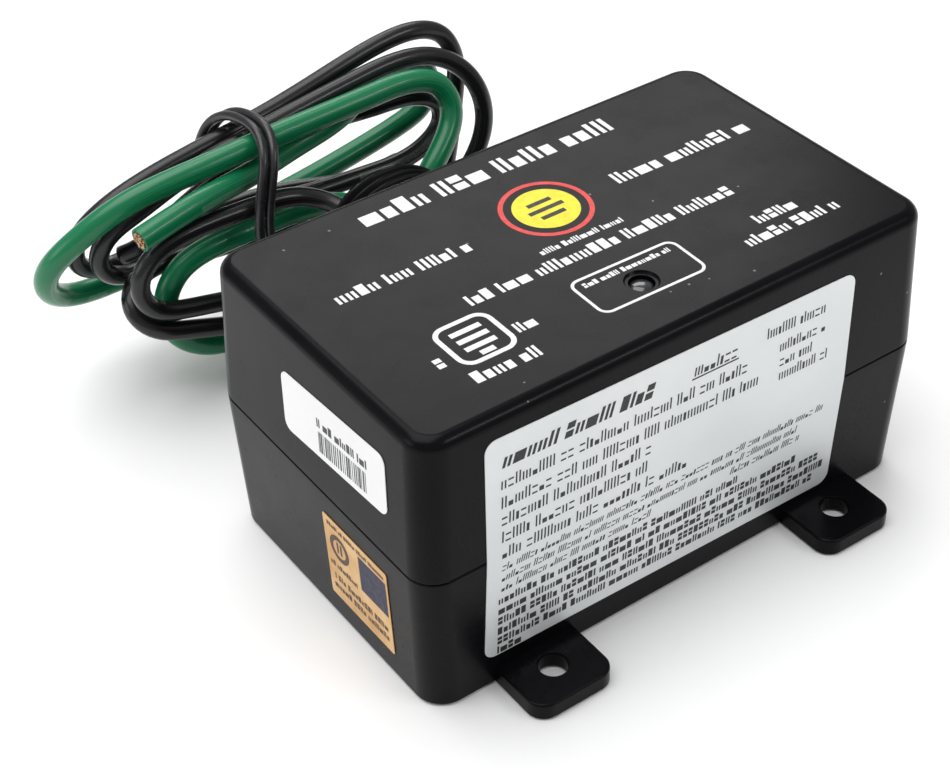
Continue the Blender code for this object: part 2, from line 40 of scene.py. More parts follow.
CAMERA_PLACE = (-0.1475, -0.1858, 0.2141)
CAMERA_AZIMUTH = -34.49
CAMERA_ELEVATION = 39.33
CAMERA_ROLL = -1.74
CAMERA_LENS = 72.7
CAMERA_SHIFT = (0.0067, 0.001)
FLOOR_HALF = 3.0
FLOOR_DROP = 0.2

# The case: its draft from the seam to each end, its edges, its walls, and the tongue inside its seam.
TOP_DRAFT = (1.0, 0.8)
BOTTOM_DRAFT = (0.95, 0.7)
CORNER_RADIUS = 4.7
CORNER_STEPS = 10
WALL_RINGS = 8
TOP_FILLET = 2.0
FOOT_BEVEL = 0.5
LIP_BEVEL = 0.25
WALL = 2.4
CAD_SEAM_GAP = 0.3
SEAM_GAP = 0.16
TONGUE_INSET = 1.1
TONGUE_RISE = 1.5
TONGUE_GAP = 0.2
LEDGE_SLOPE = 0.6
FIRST_RING = 2.0
CUT_MARGIN = 1.0

# The mounting tabs and their screw holes. The hole's rim is (outwards, down) from its top edge.
TAB_X = 28.5
TAB_WIDTH = 14.6
TAB_THICKNESS = 3.0
TAB_CORNER = 3.0
TAB_CORNER_STEPS = 8
TAB_ROOT = 1.2
TAB_BEVEL = 0.45
TAB_FOOT_CHAMFER = 0.2
TAB_HOLE_Y = -32.5
TAB_HOLE_RADIUS = 2.25
HOLE_FOOT_CHAMFER = (0.2, 0.25)
HOLE_RIM = ((0, 0.35), (0.12, 0.1), (0.38, 0))

# The status lamp and its recess, whose rim is (outwards, up) from the top face.
RECESS_RADIUS = 2.6
RECESS_DEPTH = 0.4
RECESS_CORNER = 0.15
RECESS_RIM = ((0, -0.12), (0.14, 0.02))
LAMP_CLEARANCE = 0.12
LAMP_DOME = 0.8

# The conduit nipple and the resin in its mouth. Places are along Y.
THREAD_PITCH = 1.81
THREAD_DEPTH = 1.1
THREAD_START = 29.6
THREAD_RUN_IN = 1.6
THREAD_SHARPNESS = 0.8
RINGS_PER_TURN = 12
NECK_END = 29.0
FLANGE_THICKNESS = 2.0
FLANGE_CHAMFER = 0.3
BARREL_RADIUS = 12.2
BORE_RADIUS = 9.9
NIPPLE_CHAMFER = 0.7
MOUTH_CHAMFER = 0.4
NIPPLE_SIDES = 96
NIPPLE_CUT = (20, 34)
NIPPLE_CUT_GAP = 0.25
SEAL_FACE = 42.6
SEAL_DEPTH = 4.0
SEAL_EDGE_GAP = 0.03
SEAL_HOLLOW = 0.3
SEAL_RINGS = 40
SEAL_SIDES = 64
# How high the resin climbs, and within what distance that fades: at the bore, and round each wire.
BORE_CREEP = (0.35, 0.5)
WIRE_CREEP = (0.4, 0.45)
HIGHEST_CREEP = 0.5

# The labels: centre, (width, height), corner radius, and the turn, in degrees, that lowers the right end.
SHEET_LIFT = 0.05
SHEET_THICKNESS = 0.1
INK_LIFT = 0.01
INK_THICKNESS = 0.015
INK_OVER_INK = 0.005
ON_SHEET = SHEET_LIFT + SHEET_THICKNESS
OUTLINE_WELD = 0.0005
FRONT_LABEL_CENTRE = (-3.2, 25.8)
FRONT_LABEL_SIZE = (68.4, 41.2)
FRONT_LABEL_CORNER = 2
FRONT_LABEL_TILT = 1.3
FRONT_RULE = (-0.8, 40.5, 8.1, 40.75)
BARCODE_CENTRE = (-6.0, 38.1)
BARCODE_SIZE = (27.0, 10.4)
BARCODE_CORNER = 1.6
BARCODE_TILT = 3.4
FOIL_CENTRE = (-10.0, 13.3)
FOIL_SIZE = (17.0, 16.8)
FOIL_CORNER = 0.4
TOP_PRINT_TILT = 1.2
PRINT_SEED = 11

# The bar code label's printing, from the label's centre: a row of marks, and the bars under it.
BARCODE_ROW = (-8.8, 4.4, 0.3, 1.5)
BARS_START = -8.4
BARS_END = 4
BARS_HEIGHTS = (-4.1, -0.5)
BAR_WIDTHS = (0.14, 0.14, 0.24, 0.34)
BAR_GAPS = (0.14, 0.16, 0.26, 0.36)

# The foil label's printing, from the label's centre: a ring round two bars, rows of marks and a block.
FOIL_RING_PLACE = (4.6, 3.2)
FOIL_RING_RADII = (2.6, 1.7)
FOIL_RING_BARS = ((3.9, 2.2, 4.4, 4.4), (4.8, 2.2, 5.3, 4.4))
FOIL_ROWS = ((0.4, 7.6, -1.6, 1.0), (-7.4, 7.4, -4.4, 1.2), (-7.4, 7.4, -6.4, 1.2), (-7.6, 7.6, 6.7, 0.8))
FOIL_BLOCK = (-8, -0.8, -0.8, 6.2)

# Rows of marks on the front label: left end, right end, middle height, mark height and slant.
FRONT_ROWS = [
    (-34.6, -6.4, 42.2, 2.5, 0.3), (-0.4, 7.8, 42.1, 2.1, 0.12), (13.6, 25, 42.5, 1.9, 0),
    (16.4, 26.2, 39, 1.8, 0), (16.6, 23.6, 36.2, 1.8, 0), (16.7, 26.8, 33.6, 1.8, 0),
    (-34.8, 9.8, 38.3, 2.0, 0.05), (-34.8, 12.4, 34.9, 2.0, 0.05), (-34.8, -8, 31.8, 2.0, 0.05),
    (-34.8, -8.2, 28.7, 2.0, 0.05), (-34.8, -1.2, 25.7, 2.0, 0.05),
    (-34.8, 27.2, 22.9, 1.35, 0.2), (-34.8, 22.8, 20.8, 1.35, 0.2), (-34.8, -7, 18.8, 1.35, 0.2),
    (8.5, 23.2, 18.8, 1.35, 0.2),
    (-35.2, 10.6, 16.4, 1.45, 0), (-35.2, 22.8, 14.3, 1.45, 0), (-35.2, 28.2, 12.2, 1.45, 0),
    (-35.2, 28.8, 10.1, 1.45, 0), (-35.2, 27.6, 8.1, 1.45, 0), (-35.2, -30.2, 6.2, 1.5, 0),
]
# The front label's rows that have the heavier marks.
BOLD_ROWS = (0, 15, 16, 17, 18, 19, 20)
# Rows of marks on the top: left end, right end, base line and mark height.
TOP_ROWS = [
    (-24, 23.5, 19.1, 4.0), (-37.8, -14.2, 5.3, 2.6), (13.5, 40.2, 5.4, 3.0), (-23, 25.3, -6.6, 2.5),
    (-7.5, 8.1, -2.5, 1.3), (-34.9, -33.1, -15.2, 2.2), (-21.3, -17.6, -15.2, 2.2),
    (-32.5, -21.6, -20.9, 2.5), (23.2, 30.2, -15.6, 2.3), (18.2, 36.4, -19.4, 2.4),
]
# The square sign on the top: its outer and inner (size, corner), and its bars (height, half length).
SIGN_PLACE = (-27.1, -12.4)
SIGN_OUTLINES = ((9.8, 2.4), (8.2, 1.6))
SIGN_BARS = ((2.3, 2.6), (0.4, 2.6), (-1.5, 2.6), (-3.2, 1.2))
SIGN_BAR_HALF = 0.5
# The frame round the lamp: its outer and inner ((width, height), corner), and the row of marks inside.
WINDOW_PLACE = (0.3, -14.9)
WINDOW_OUTLINES = (((19.4, 9.2), 1.8), ((18.4, 8.2), 1.3))
WINDOW_ROW = (-7.6, 8.2, -12.7, 1.1)
# The badge: a disc inside a ring, and stripes on the disc (height, half length).
BADGE_PLACE = (0.4, 7.2)
BADGE_DISC = 5.3
BADGE_RING = (7.4, 6.6)
BADGE_STRIPES = ((1.9, 2.2), (0, 3.2), (-1.9, 2.2))
BADGE_STRIPE_HALF = 0.45

# The wires and the strands at their cut ends. The jacket's rim is (share of the radius, how far ahead).
GROUND_DIAMETER = 4.2
LINE_DIAMETER = 3.4
WIRE_SIDES = 20
WIRE_STEP = 0.9
JACKET_WALL = 0.55
JACKET_RIM = ((0.97, 0.05), (0.93, 0))
END_RECESS = 0.35
STRAND_COUNTS = (1, 6, 12)
STRAND_RADII_ACROSS = 5.1
STRAND_FIT = 0.96
STRAND_SIDES = 10

# The wires' routes, each from the nipple's mouth to its cut end.
GROUND_ROUTE = [
    (-3, 42.5, 27), (-3.5, 48.5, 27.8), (-6, 55, 28.6), (-12, 60, 27.8), (-20, 62, 26.5), (-29, 62.3, 26),
    (-36, 62.4, 23.8), (-39.6, 62.4, 18), (-38.6, 62.4, 11.8), (-34, 62.4, 7), (-27, 62.5, 4.8),
    (-17, 62.6, 5), (-8, 61.7, 6.8), (-1, 59, 10.5), (4, 56.5, 15.5), (7.6, 55.2, 21.6), (11.4, 56, 27.6),
    (16.6, 58, 31.9), (19.7, 60.5, 36.4), (18.4, 62.2, 40.4), (13.5, 63, 42.6), (5, 63, 42.9),
    (-5, 63, 42.5), (-17, 63, 42), (-31, 63.2, 41), (-43, 64.7, 38.7), (-51.5, 67, 33.8),
    (-56.3, 70, 27.8), (-55.5, 73.3, 21.5), (-50, 76, 17), (-41.5, 77, 15.8), (-28, 76.8, 17),
    (-14, 75.9, 20), (0, 75.3, 22.6), (10, 75.1, 24.6), (18.2, 75, 26.6), (22.8, 74.8, 29),
    (24.4, 74.5, 33), (22.4, 74, 37.6), (17, 73.2, 40.2), (9.5, 70.6, 40.8), (2, 67.2, 39),
    (-9, 65.2, 37.4), (-20, 62.3, 37.2), (-32, 58.6, 38.2), (-45, 56.3, 37),
]
LINE_1_ROUTE = [
    (-8, 42.5, 29), (-8, 48, 29.5), (-9.7, 53.5, 31), (-14, 57, 32.6), (-21, 57.8, 33.6), (-30, 57.8, 34),
    (-38.3, 57.8, 33.4), (-43.4, 57.9, 31), (-45.6, 58, 26.4), (-43.6, 57.9, 21.6), (-38, 57.7, 19.2),
    (-30, 57.6, 17.4), (-21, 58.2, 15), (-11, 61, 13), (0, 63.5, 12), (10, 63.2, 12.7), (19, 62.3, 16.6),
    (25.4, 62, 22.8), (28.6, 62.8, 30.2), (27.4, 65, 37.5), (22.3, 67, 42.4), (14.5, 67.6, 44.5),
    (4, 67.7, 43.8), (-8, 67.6, 42.2), (-21, 67.6, 40), (-33, 67.5, 37), (-40.6, 67.9, 33.9),
    (-45.5, 68.4, 31.2), (-47.4, 69.3, 26.8), (-45.4, 70.3, 22.4), (-40.3, 70.9, 20.4), (-33, 71, 21.2),
    (-25, 70.6, 23.2), (-15, 68.6, 25.2), (-5, 66.3, 25.6), (4, 65.8, 25.4), (11, 65.8, 25.2),
    (17.6, 66, 26.7), (21.2, 66.2, 30.2), (20.8, 66.4, 33.9), (17.2, 66.8, 36.4), (13.2, 67.5, 37),
    (9, 68.8, 36.4), (2, 71, 35.5), (-6, 71.4, 35), (-14, 70.7, 34.6), (-24, 69, 33.6), (-32, 67.4, 31.8),
    (-37.6, 67, 29.2), (-41.2, 68, 27), (-43.2, 69.4, 25.9),
]
LINE_2_ROUTE = [
    (-5, 42.5, 20.5), (-5, 48.5, 20.5), (-5.6, 55, 20.6), (-8.5, 61, 21), (-14.5, 65.3, 21.2),
    (-23, 66.6, 21.6), (-32, 66.7, 22.6), (-39, 66.9, 22.9), (-43.6, 65.4, 21.8), (-45.6, 62.2, 19.3),
    (-43.8, 59.2, 16.8), (-38.8, 57.6, 15.1), (-31, 57.2, 12.6), (-20, 57.2, 8.4), (-9, 57.6, 4.8),
    (2, 59.5, 3.4), (11, 62.5, 5.5), (18.3, 65.3, 10.8), (22.4, 67.2, 18.2), (24.8, 68.2, 25.8),
    (26.8, 69.5, 32.4), (28, 71, 38.8), (26.4, 72.1, 43.2), (21.4, 72.4, 46), (14.5, 72.4, 46.3),
    (5, 72.3, 44.6), (-9, 72.3, 41.3), (-25, 72, 38.8), (-38, 72, 36.3), (-45.4, 72.4, 33.2),
    (-49.4, 73.1, 29), (-49.4, 73.9, 24.4), (-45.6, 74.8, 21.2), (-39, 75.1, 20.8), (-30, 75, 22.3),
    (-20, 73.8, 24), (-10, 71.9, 24.2), (0, 70.4, 22.7), (8, 69.9, 22), (14, 69.9, 22.4),
]
# The tie: its loop is (y, z), it bows to the left at mid height, and it ends a thirteenth of a turn early.
TIE_RADIUS = 0.85
TIE_SIDES = 16
TIE_STEP = 0.5
TIE_END_GAP = 13
TIE_X = -16.8
TIE_PITCH = 1.95
TIE_TURNS = 2
TIE_BOW = 8.2
TIE_BOW_SPAN = 42
TIE_LOOP = [
    (66, 1.4), (60.4, 1.4), (55.4, 3.2), (53, 8.6), (53.4, 16), (53.8, 24), (54.2, 32.5), (55.2, 39),
    (57.4, 43.2), (61.4, 45.3), (66.6, 45.2), (71.6, 43.8), (75.2, 40.8), (77, 34), (79, 27), (80.1, 20),
    (78.4, 10), (72.5, 3.4),
]


# ---- camera and lights


def make_camera():
    azimuth = math.radians(CAMERA_AZIMUTH)
    elevation = math.radians(CAMERA_ELEVATION)
    back = Vector((
        math.sin(azimuth) * math.cos(elevation),
        -math.cos(azimuth) * math.cos(elevation),
        math.sin(elevation),
    ))
    right = Vector((0, 0, 1)).cross(back).normalized()
    level = Matrix((right, back.cross(right), back)).transposed()
    camera = bpy.data.cameras.new("camera")
    camera.sensor_width = 36
    camera.lens = CAMERA_LENS
    camera.shift_x, camera.shift_y = CAMERA_SHIFT
    camera.clip_start = 0.01
    obj = bpy.data.objects.new("camera", camera)
    turn = level @ Matrix.Rotation(math.radians(CAMERA_ROLL), 3, "Z")
    obj.matrix_world = Matrix.Translation(CAMERA_PLACE) @ turn.to_4x4()
    bpy.context.scene.collection.objects.link(obj)
    bpy.context.scene.camera = obj


def area_light(name, place, aim, size, power):
    """A white rectangular softbox that faces a point."""
    light = bpy.data.lights.new(name, "AREA")
    light.shape = "RECTANGLE"
    light.size = size[0]
    light.size_y = size[1]
    light.energy = power
    obj = bpy.data.objects.new(name, light)
    obj.location = place
    obj.rotation_euler = (Vector(aim) - Vector(place)).to_track_quat("-Z", "Y").to_euler()
    bpy.context.scene.collection.objects.link(obj)


def make_lights():
    area_light("overhead_softbox", (-0.3, 0.35, 1.55), aim=(0, 0, 0.02), size=(1.7, 1.4), power=26)
    area_light("left_softbox", (-0.75, 0.25, 0.3), aim=(0, 0, 0.03), size=(0.4, 0.3), power=0.9)
    area_light("back_softbox", (0.36, 0.6, 0.58), aim=(0, 0, 0.05), size=(0.5, 0.3), power=1.7)
    area_light("edge_strip", (0.3, -0.5, 0.52), aim=(0, 0, 0.05), size=(0.34, 0.06), power=0.9)
    world = bpy.data.worlds.new("studio")
    world.use_nodes = True
    background = world.node_tree.nodes["Background"]
    background.inputs["Color"].default_value = (1, 1, 1, 1)
    background.inputs["Strength"].default_value = 0.35
    bpy.context.scene.world = world
    bpy.context.scene.view_settings.view_transform = "Standard"


# ---- materials


class Look:
    """A node material: its Principled shader, and short calls that add and join nodes."""

    def __init__(self, name):
        self.material = bpy.data.materials.new(name)
        self.material.use_nodes = True
        self.tree = self.material.node_tree
        self.shader = self.tree.nodes["Principled BSDF"]

    def node(self, kind, values=None, **settings):
        node = self.tree.nodes.new(kind)
        for name, value in settings.items():
            setattr(node, name, value)
        for name, value in (values or {}).items():
            if isinstance(value, bpy.types.NodeSocket):
                self.tree.links.new(value, node.inputs[name])
            else:
                node.inputs[name].default_value = value
        return node

    def place(self):
        return self.node("ShaderNodeTexCoord").outputs["Object"]

    def joined(self, **axes):
        """A vector with the given X and Y."""
        return self.node("ShaderNodeCombineXYZ", axes).outputs["Vector"]

    def noise(self, scale, detail, vector=None):
        values = {"Vector": vector or self.place(), "Scale": scale, "Detail": detail}
        return self.node("ShaderNodeTexNoise", values).outputs["Fac"]

    def cells(self, scale, output):
        values = {"Vector": self.place(), "Scale": scale}
        return self.node("ShaderNodeTexVoronoi", values).outputs[output]

    def math(self, operation, a, b=0.0):
        node = self.node("ShaderNodeMath", operation=operation)
        for socket, value in zip(node.inputs, (a, b)):
            if isinstance(value, bpy.types.NodeSocket):
                self.tree.links.new(value, socket)
            else:
                socket.default_value = value
        return node.outputs["Value"]

    def ramp(self, value, low, high, start=0.0, end=1.0):
        values = {"Value": value, "From Min": low, "From Max": high, "To Min": start, "To Max": end}
        return self.node("ShaderNodeMapRange", values).outputs["Result"]

    def uneven(self, scale, detail, start=0.0, end=1.0):
        """Noise, stretched so that it runs from start to end."""
        return self.ramp(self.noise(scale, detail), 0.3, 0.7, start, end)

    def mix(self, factor, a, b):
        node = self.node("ShaderNodeMix", data_type="RGBA")
        for socket, value in zip((node.inputs[0], node.inputs[6], node.inputs[7]), (factor, a, b)):
            if isinstance(value, bpy.types.NodeSocket):
                self.tree.links.new(value, socket)
            elif isinstance(value, tuple):
                socket.default_value = (*value, 1)
            else:
                socket.default_value = value
        return node.outputs[2]

    def bump(self, height, distance, strength):
        values = {"Height": height, "Distance": distance * MM, "Strength": strength}
        self.link("Normal", self.node("ShaderNodeBump", values).outputs["Normal"])

    def link(self, socket, value):
        if isinstance(value, bpy.types.NodeSocket):
            self.tree.links.new(value, self.shader.inputs[socket])
        elif isinstance(value, tuple):
            self.shader.inputs[socket].default_value = (*value, 1)
        else:
            self.shader.inputs[socket].default_value = value


def darker(colour, share):
    return tuple(value * share for value in colour)


def moulded_plastic(name, colour, roughness, dust=0.3):
    """Black satin moulding: a fine grain, uneven sheen, and specks of dust."""
    look = Look(name)
    paler = tuple(value * 1.5 + 0.001 for value in colour)
    tone = look.mix(look.ramp(look.noise(45, 4), 0.35, 0.7), colour, paler)
    pick = look.node("ShaderNodeSeparateColor", {"Color": look.cells(620, "Color")}).outputs[0]
    chosen = look.math("GREATER_THAN", pick, 0.985)
    speck = look.math("MULTIPLY", look.math("LESS_THAN", look.cells(620, "Distance"), 0.14), chosen)
    look.link("Base Color", look.mix(look.math("MULTIPLY", speck, dust), tone, (0.5, 0.5, 0.48)))
    look.link("Roughness", look.uneven(160, 5, roughness - 0.02, roughness + 0.03))
    look.link("Specular IOR Level", 0.09)
    look.bump(look.noise(2600, 2), 0.02, 0.35)
    return look.material


def nylon_jacket(name, colour, shade, roughness=0.22):
    """A wire's glossy nylon skin: faint flats drawn along it, and a row of worn print on one side."""
    look = Look(name)
    skin = look.node("ShaderNodeTexCoord").outputs["UV"]
    around, along, _ = look.node("ShaderNodeSeparateXYZ", {"Vector": skin}).outputs
    drawn = look.noise(18, 4, look.joined(X=look.math("MULTIPLY", around, 9.0), Y=along))
    tone = look.mix(look.ramp(drawn, 0.3, 0.7), shade, colour)
    off_line = look.math("ABSOLUTE", look.math("SUBTRACT", around, 0.32))
    line = look.math("LESS_THAN", off_line, 0.055)
    fine = look.noise(1100, 1, look.joined(X=look.math("MULTIPLY", around, 22.0), Y=along))
    marks = look.math("GREATER_THAN", fine, 0.53)
    runs = look.math("GREATER_THAN", look.noise(42, 1, look.joined(Y=along)), 0.5)
    printed = look.math("MULTIPLY", look.math("MULTIPLY", line, marks), runs)
    look.link("Base Color", look.mix(look.math("MULTIPLY", printed, 0.3), tone, (0.62, 0.66, 0.62)))
    look.link("Roughness", look.ramp(drawn, 0.25, 0.75, roughness - 0.07, roughness + 0.12))
    look.link("Specular IOR Level", 0.3)
    look.link("Coat Weight", 0.22)
    look.link("Coat Roughness", 0.12)
    look.bump(drawn, 0.05, 0.5)
    return look.material


def cut_copper():
    """Freshly cut strands: bright and dull patches of copper."""
    look = Look("cut_copper")
    look.link("Base Color", look.mix(look.uneven(1500, 3), (0.42, 0.19, 0.09), (0.86, 0.56, 0.36)))
    look.link("Metallic", 0.9)
    look.link("Roughness", look.uneven(3000, 2, 0.25, 0.5))
    look.bump(look.noise(4000, 2), 0.03, 0.5)
    return look.material


def bright_metal(name, colour, roughness):
    look = Look(name)
    look.link("Base Color", look.mix(look.uneven(300, 4), colour, darker(colour, 0.75)))
    look.link("Metallic", 1.0)
    look.link("Roughness", look.uneven(700, 3, roughness - 0.08, roughness + 0.1))
    look.bump(look.noise(2500, 2), 0.01, 0.4)
    return look.material


def coated(name, colour, roughness, bump):
    """Dipped, cast or lacquered insulation: a mottled colour and a slightly wavy skin."""
    look = Look(name)
    look.link("Base Color", look.mix(look.uneven(220, 4), colour, darker(colour, 0.6)))
    look.link("Roughness", look.uneven(500, 3, roughness - 0.08, roughness + 0.08))
    look.bump(look.noise(400, 3), bump, 0.6)
    return look.material


def label_film(name, light, dark, roughness, metallic=0.0):
    """Printed film: a faint brushed grain and a soft drift in tone."""
    look = Look(name)
    look.link("Base Color", look.mix(look.ramp(look.noise(28, 3), 0.35, 0.7), light, dark))
    look.link("Metallic", metallic)
    look.link("Roughness", look.uneven(900, 3, roughness - 0.05, roughness + 0.07))
    look.bump(look.noise(700, 2), 0.003, 0.25)
    return look.material


def gold_foil():
    """Holographic foil: fine hatching, and warm and pale patches."""
    look = Look("gold_foil")
    values = {"Vector": look.place(), "Scale": 520.0, "Distortion": 3.0}
    hatching = look.node("ShaderNodeTexWave", values, bands_direction="Y").outputs["Fac"]
    patches = look.ramp(look.noise(160, 4), 0.35, 0.65)
    base = look.mix(patches, (0.64, 0.36, 0.12), (0.82, 0.56, 0.26))
    look.link("Base Color", look.mix(look.math("MULTIPLY", hatching, 0.35), base, (0.6, 0.3, 0.1)))
    look.link("Metallic", 0.55)
    look.link("Roughness", look.uneven(600, 3, 0.28, 0.45))
    look.bump(hatching, 0.01, 0.5)
    return look.material


def ink(name, colour, roughness=0.5):
    """Screen-printed ink with slightly uneven cover."""
    look = Look(name)
    look.link("Base Color", look.mix(look.uneven(900, 3), darker(colour, 0.8), colour))
    look.link("Roughness", look.uneven(1400, 2, roughness - 0.06, roughness + 0.08))
    look.bump(look.noise(2400, 2), 0.004, 0.4)
    return look.material


def lamp_resin():
    """The unlit lamp's smoked resin."""
    look = Look("smoked_lamp_resin")
    look.link("Base Color", look.mix(look.uneven(700, 2), (0.012, 0.013, 0.014), (0.03, 0.034, 0.036)))
    look.link("Roughness", look.uneven(900, 2, 0.12, 0.25))
    look.link("Coat Weight", 0.5)
    return look.material


def white_floor():
    look = Look("floor_paper")
    look.link("Base Color", look.mix(look.uneven(6, 3), (0.93, 0.93, 0.93), (0.96, 0.96, 0.96)))
    look.link("Roughness", 0.75)
    look.bump(look.noise(900, 2), 0.01, 0.2)
    return look.material


# ---- mesh helpers


def finish_piece(name, bm, material, smooth_angle=32.0, weighted=True, turn_faces=True):
    """Makes an object of a mesh, smooth except at sharp edges, and lets it ride on the body."""
    if turn_faces:
        bmesh.ops.recalc_face_normals(bm, faces=bm.faces)
    for edge in bm.edges:
        if len(edge.link_faces) == 2:
            edge.smooth = edge.calc_face_angle(0.0) < math.radians(smooth_angle)
    for face in bm.faces:
        face.smooth = True
    mesh = bpy.data.meshes.new(name)
    bm.to_mesh(mesh)
    bm.free()
    mesh.materials.append(material)
    obj = bpy.data.objects.new(name, mesh)
    bpy.context.scene.collection.objects.link(obj)
    if weighted:
        normals = obj.modifiers.new("flat faces", "WEIGHTED_NORMAL")
        normals.keep_sharp = True
    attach(obj, BODY)
    return obj


def circle(centre, radius, steps=48):
    turns = [2 * math.pi * i / steps for i in range(steps)]
    return [(centre[0] + radius * math.cos(turn), centre[1] + radius * math.sin(turn)) for turn in turns]


def rounded_outline(centre, size, radius, steps=6):
    """The outline of a rectangle with round corners."""
    half_x, half_y = size[0] / 2, size[1] / 2
    points = []
    for quarter, (sx, sy) in enumerate(((1, 1), (-1, 1), (-1, -1), (1, -1))):
        for i in range(steps + 1):
            turn = math.pi / 2 * (quarter + i / steps)
            points.append((
                centre[0] + sx * (half_x - radius) + radius * math.cos(turn),
                centre[1] + sy * (half_y - radius) + radius * math.sin(turn),
            ))
    return points


def join_rings(bm, near, far):
    """A band of four-sided faces between two rings of points."""
    for i in range(len(near)):
        j = (i + 1) % len(near)
        bm.faces.new((near[i], near[j], far[j], far[i]))


def ring_faces(bm, rings):
    """Joins rings of places, each with the next."""
    rows = [[bm.verts.new(place) for place in ring] for ring in rings]
    for near, far in zip(rows, rows[1:]):
        join_rings(bm, near, far)
    return rows


def shell(rings):
    """A solid whose skin runs through the rings, closed by a face at the first and at the last."""
    bm = bmesh.new()
    rows = ring_faces(bm, rings)
    bm.faces.new(rows[0])
    bm.faces.new(rows[-1])
    return bm


def lathed(profile, centre, axis, sides=64):
    """A solid made by turning (radius, height) pairs round an axis through centre."""
    rings = []
    for radius, height in profile:
        spots = circle(centre, radius, sides)
        rings.append([Vector((a, b, height) if axis == "Z" else (a, height, b)) * MM for a, b in spots])
    bm = shell(rings)
    bmesh.ops.remove_doubles(bm, verts=bm.verts, dist=WELD_DISTANCE)
    return bm


def round_cutter(radius, low, high, centre, axis):
    return lathed([(0, low), (radius, low), (radius, high), (0, high)], centre, axis)


def combine(bm, others, operation="DIFFERENCE"):
    """The closed mesh bm with other closed meshes cut out of it or joined to it."""
    objects = []
    for part in [bm, *others]:
        bmesh.ops.recalc_face_normals(part, faces=part.faces)
        mesh = bpy.data.meshes.new("shape")
        part.to_mesh(mesh)
        part.free()
        objects.append(bpy.data.objects.new("shape", mesh))
        bpy.context.scene.collection.objects.link(objects[-1])
    for other in objects[1:]:
        modifier = objects[0].modifiers.new("shape", "BOOLEAN")
        modifier.operation = operation
        modifier.solver = "EXACT"
        modifier.object = other
    bpy.context.view_layer.update()
    result = bmesh.new()
    result.from_object(objects[0], bpy.context.evaluated_depsgraph_get())
    for obj in objects:
        bpy.data.objects.remove(obj, do_unlink=True)
    bmesh.ops.remove_doubles(result, verts=result.verts, dist=JOIN_DISTANCE)
    bmesh.ops.dissolve_degenerate(result, edges=result.edges, dist=JOIN_DISTANCE)
    return result


def smooth_route(points, step):
    """Even points, in metres, on the cubic spline that passes through the given points."""
    points = np.array(points, float) * MM
    last = len(points) - 1
    spans = np.linalg.norm(np.diff(points, axis=0), axis=1)
    knots = np.concatenate(([0.0], np.cumsum(spans)))
    slopes = np.diff(points, axis=0) / spans[:, None]
    system = np.eye(last + 1)
    change = np.zeros_like(points)
    for i in range(1, last):
        system[i, i - 1:i + 2] = (spans[i - 1], 2 * (spans[i - 1] + spans[i]), spans[i])
        change[i] = 6 * (slopes[i] - slopes[i - 1])
    bends = np.linalg.solve(system, change)
    places = np.linspace(0, knots[-1], round(knots[-1] / (step * MM)) + 1)
    span = np.clip(np.searchsorted(knots, places, side="right") - 1, 0, last - 1)
    width = spans[span][:, None]
    after = (places[:, None] - knots[span][:, None]) / width
    before = 1 - after
    curve = (before**3 - before) * bends[span] + (after**3 - after) * bends[span + 1]
    return before * points[span] + after * points[span + 1] + curve * width**2 / 6


def frames_along(route):
    """At each point of a route, two directions across it that turn as little as they can."""
    tangents = np.gradient(route, axis=0)
    tangents /= np.linalg.norm(tangents, axis=1)[:, None]
    across = np.cross(tangents[0], (0, 0, 1))
    frames = []
    for tangent in tangents:
        across = across - tangent * np.dot(across, tangent)
        across /= np.linalg.norm(across)
        frames.append((across, np.cross(tangent, across), tangent))
    return frames


def sweep(bm, route, radius, sides, cap=True):
    """A round tube along a route, with (turn, distance) as its UV. Returns its rings of points."""
    layer = bm.loops.layers.uv.verify()
    distances = np.concatenate(([0.0], np.cumsum(np.linalg.norm(np.diff(route, axis=0), axis=1))))
    turns = [2 * math.pi * i / sides for i in range(sides)]
    rows = []
    for spot, (across, over, _) in zip(route, frames_along(route)):
        rows.append([
            bm.verts.new(spot + radius * (math.cos(turn) * across + math.sin(turn) * over)) for turn in turns
        ])
    for k in range(len(rows) - 1):
        for i in range(sides):
            j = (i + 1) % sides
            face = bm.faces.new((rows[k][i], rows[k][j], rows[k + 1][j], rows[k + 1][i]))
            marks = ((i, k), (i + 1, k), (i + 1, k + 1), (i, k + 1))
            for loop, (turn, row) in zip(face.loops, marks):
                loop[layer].uv = (turn / sides, distances[row])
    if cap:
        bm.faces.new(rows[0])
        bm.faces.new(rows[-1])
    return rows


# ---- wires


def make_jacket(name, route, diameter, material):
    """A wire's jacket: open at its cut end as far as the recessed conductor."""
    bm = bmesh.new()
    radius = diameter / 2 * MM
    rows = sweep(bm, route, radius, WIRE_SIDES, cap=False)
    bm.faces.new(rows[0])
    ahead = frames_along(route)[-1][2]
    centre = route[-1]
    rings = [rows[-1]]
    for share, distance in (*JACKET_RIM, (1 - JACKET_WALL * MM / radius, 0)):
        rings.append([
            bm.verts.new(centre + (np.array(vert.co) - centre) * share + ahead * distance * MM)
            for vert in rows[-1]
        ])
    rings.append([bm.verts.new(np.array(vert.co) - ahead * END_RECESS * MM) for vert in rings[-1]])
    for near, far in zip(rings, rings[1:]):
        join_rings(bm, near, far)
    bm.faces.new(rings[-1])
    return finish_piece(name, bm, material, 50, weighted=False)


